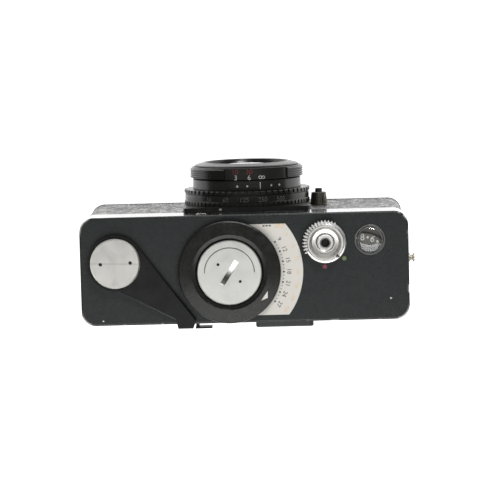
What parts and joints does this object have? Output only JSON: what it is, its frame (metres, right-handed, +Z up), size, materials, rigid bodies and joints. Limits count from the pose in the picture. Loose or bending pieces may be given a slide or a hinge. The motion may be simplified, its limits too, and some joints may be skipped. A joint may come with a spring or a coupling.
{
  "type": "half frame camera",
  "caption": "Compact half frame film camera with a leaf shutter lens, top film speed dial, left hand wind lever, locking release and hinged back.",
  "frame": {"origin": "mouth of the tripod socket, in the middle of the base, which stands on Z = 0", "axes": "+Z up, -Y towards the lens front, +X towards the wind lever"},
  "size_m": [0.1187, 0.0572, 0.0703],
  "materials": {
    "black_enamel": "satin black baked enamel",
    "black_anodised": "satin black anodised",
    "leatherette": "black leatherette, fine pebble grain",
    "die_cast": "blackened die-cast alloy",
    "turned_alloy": "turned, satin",
    "chrome_trim": "satin chrome",
    "nickel": "nickel plated",
    "steel": "ground",
    "scale_enamel": "ivory enamel",
    "black_plastic": "moulded, matt",
    "counter_grey": "grey, matt",
    "olive_metal": "dark oxidised",
    "optical_glass": "coated, polished",
    "clear_window": "clear, polished",
    "green_paint": "gloss",
    "red_paint": "gloss",
    "cell_steel": "bright"
  },
  "bodies": {
    "camera": {"body_chassis": "die_cast", "chassis_floor": "die_cast", "top_cover": "black_enamel", "bottom_cover": "black_enamel", "front_leatherette": "leatherette", "screws_and_hinge_pin": "steel", "tripod_bush": "steel", "strap_lug": "nickel", "finder_housing": "black_plastic", "finder_window": "clear_window", "meter_window": "clear_window", "eyepiece_bezel": "black_plastic", "eyepiece_lens": "clear_window", "dial_scale_plate": "scale_enamel", "battery_cup": "black_anodised", "battery": "cell_steel", "film_gate": "black_anodised", "release_guide": "black_anodised", "green_dot": "green_paint", "red_dot": "red_paint", "counter_bezel": "chrome_trim", "counter_window": "clear_window", "lens_board": "black_anodised", "shutter_case": "black_anodised", "lens_barrel": "black_anodised", "dof_scale_ring": "black_anodised", "rear_element": "optical_glass", "shutter_plate": "black_anodised", "front_button_collar": "olive_metal"},
    "wind_lever": {"wind_lever": "black_anodised", "wind_hub_cap": "turned_alloy", "wind_shaft": "steel"},
    "take_up_spool": {"take_up_spool": "black_plastic"},
    "film_sprocket": {"film_sprocket": "black_plastic"},
    "counter_disc": {"counter_disc": "counter_grey"},
    "film_speed_dial": {"film_speed_dial": "black_anodised"},
    "battery_cap": {"battery_cap": "turned_alloy"},
    "release_button": {"release_button": "chrome_trim"},
    "lock_collar": {"lock_collar": "chrome_trim"},
    "rewind_release_slide": {"rewind_release_slide": "black_anodised"},
    "rewind_knob": {"rewind_disc": "black_anodised", "rewind_fork": "steel"},
    "rewind_crank": {"rewind_crank": "turned_alloy"},
    "aperture_ring": {"aperture_ring": "black_anodised"},
    "speed_ring": {"speed_ring": "black_anodised"},
    "focus_ring": {"focus_ring": "black_anodised"},
    "front_lens_cell": {"front_cell": "black_anodised", "front_element": "optical_glass"},
    "iris_leaf_left": {"iris_leaf_left": "steel"},
    "iris_leaf_right": {"iris_leaf_right": "steel"},
    "shutter_drive_ring": {"shutter_drive_ring": "steel"},
    "shutter_blade_1": {"shutter_blade_1": "steel"},
    "shutter_blade_2": {"shutter_blade_2": "steel"},
    "shutter_blade_3": {"shutter_blade_3": "steel"},
    "front_button": {"front_button": "black_plastic"},
    "rear_door": {"rear_door": "black_enamel", "door_leatherette": "leatherette", "plate_spring": "steel"},
    "pressure_plate": {"pressure_plate": "black_anodised"},
    "door_latch": {"door_latch": "black_anodised"}
  },
  "joints": [
    {"name": "wind_stroke", "type": "hinge", "parent": "camera", "child": "wind_lever", "pos_m": [0.0455, -0.0032, 0.067], "axis": [0, 0, -1], "range_deg": [0, 130], "stiffness_Nm_per_rad": 0.004},
    {"name": "take_up_turn", "type": "hinge", "parent": "camera", "child": "take_up_spool", "pos_m": [0.0404, 0.0023, 0.03], "axis": [0, 0, -1], "range_deg": [-195.5, 0]},
    {"name": "sprocket_turn", "type": "hinge", "parent": "camera", "child": "film_sprocket", "pos_m": [0.0205, 0.0064, 0.03], "axis": [0, 0, -1], "range_deg": [0, 180.5]},
    {"name": "counter_turn", "type": "hinge", "parent": "camera", "child": "counter_disc", "pos_m": [-0.0422, -0.0017, 0.063], "axis": [0, 0, -1], "range_deg": [0, 4.6]},
    {"name": "film_speed_turn", "type": "hinge", "parent": "camera", "child": "film_speed_dial", "pos_m": [0.0053, 0.0009, 0.067], "axis": [0, 0, 1], "range_deg": [0, 67.5]},
    {"name": "battery_cap_turn", "type": "hinge", "parent": "camera", "child": "battery_cap", "pos_m": [0.0053, 0.0009, 0.069], "axis": [0, 0, 1], "range_deg": [0, 90]},
    {"name": "release_press", "type": "slide", "parent": "camera", "child": "release_button", "axis": [0, 0, -1], "range_m": [0, 0.0018], "stiffness_N_per_m": 300},
    {"name": "lock_turn", "type": "hinge", "parent": "camera", "child": "lock_collar", "pos_m": [-0.0287, -0.0087, 0.067], "axis": [0, 0, 1], "range_deg": [-48, 0]},
    {"name": "rewind_release_shift", "type": "slide", "parent": "camera", "child": "rewind_release_slide", "axis": [-1, 0, 0], "range_m": [0, 0.003], "stiffness_N_per_m": 120},
    {"name": "rewind_turn", "type": "hinge", "parent": "camera", "child": "rewind_knob", "pos_m": [-0.0415, 0.0022, 0.001], "axis": [0, 0, -1], "continuous": true},
    {"name": "rewind_crank_fold", "type": "hinge", "parent": "rewind_knob", "child": "rewind_crank", "pos_m": [-0.0465, 0.0022, 0.00095], "axis": [0, 1, 0], "range_deg": [0, 92]},
    {"name": "aperture_turn", "type": "hinge", "parent": "camera", "child": "aperture_ring", "pos_m": [-0.001, -0.021, 0.029], "axis": [0, 1, 0], "range_deg": [0, 60]},
    {"name": "speed_turn", "type": "hinge", "parent": "camera", "child": "speed_ring", "pos_m": [-0.001, -0.024, 0.029], "axis": [0, 1, 0], "range_deg": [-52, 52]},
    {"name": "focus_turn", "type": "hinge", "parent": "camera", "child": "focus_ring", "pos_m": [-0.001, -0.032, 0.029], "axis": [0, -1, 0], "range_deg": [0, 100]},
    {"name": "front_cell_shift", "type": "slide", "parent": "camera", "child": "front_lens_cell", "axis": [0, -1, 0], "range_m": [0, 0.0012]},
    {"name": "iris_left_turn", "type": "hinge", "parent": "camera", "child": "iris_leaf_left", "pos_m": [0.01, -0.01455, 0.039], "axis": [0, 1, 0], "range_deg": [0, 18.1]},
    {"name": "iris_right_turn", "type": "hinge", "parent": "camera", "child": "iris_leaf_right", "pos_m": [-0.012, -0.01495, 0.019], "axis": [0, 1, 0], "range_deg": [0, 18.1]},
    {"name": "shutter_drive", "type": "hinge", "parent": "camera", "child": "shutter_drive_ring", "pos_m": [-0.001, -0.01125, 0.029], "axis": [0, -1, 0], "range_deg": [0, 24]},
    {"name": "shutter_blade_1_turn", "type": "hinge", "parent": "camera", "child": "shutter_blade_1", "pos_m": [-0.001, -0.01265, 0.0405], "axis": [0, -1, 0], "range_deg": [0, 72.1]},
    {"name": "shutter_blade_2_turn", "type": "hinge", "parent": "camera", "child": "shutter_blade_2", "pos_m": [0.00896, -0.01235, 0.02325], "axis": [0, -1, 0], "range_deg": [0, 72.1]},
    {"name": "shutter_blade_3_turn", "type": "hinge", "parent": "camera", "child": "shutter_blade_3", "pos_m": [-0.01096, -0.01205, 0.02325], "axis": [0, -1, 0], "range_deg": [0, 72.1]},
    {"name": "front_button_press", "type": "slide", "parent": "camera", "child": "front_button", "axis": [0, 1, 0], "range_m": [0, 0.001], "stiffness_N_per_m": 250},
    {"name": "rear_door_swing", "type": "hinge", "parent": "camera", "child": "rear_door", "pos_m": [0.0557, 0.01675, 0.0275], "axis": [0, 0, -1], "range_deg": [0, 100]},
    {"name": "pressure_plate_press", "type": "slide", "parent": "rear_door", "child": "pressure_plate", "axis": [0, 1, 0], "range_m": [0, 0.0008], "stiffness_N_per_m": 400},
    {"name": "door_latch_shift", "type": "slide", "parent": "camera", "child": "door_latch", "axis": [0, 0, 1], "range_m": [0, 0.003], "stiffness_N_per_m": 150}
  ],
  "couplings": [
    {"joint": "take_up_turn", "follows": "wind_stroke", "ratio": -1.5},
    {"joint": "sprocket_turn", "follows": "wind_stroke", "ratio": 1.3846},
    {"joint": "counter_turn", "follows": "wind_stroke", "ratio": 0.0346},
    {"joint": "front_cell_shift", "follows": "focus_turn", "m_per_rad": 0.00068},
    {"joint": "iris_left_turn", "follows": "aperture_turn", "ratio": 0.3},
    {"joint": "iris_right_turn", "follows": "aperture_turn", "ratio": 0.3},
    {"joint": "shutter_blade_1_turn", "follows": "shutter_drive", "ratio": 3},
    {"joint": "shutter_blade_2_turn", "follows": "shutter_drive", "ratio": 3},
    {"joint": "shutter_blade_3_turn", "follows": "shutter_drive", "ratio": 3}
  ]
}
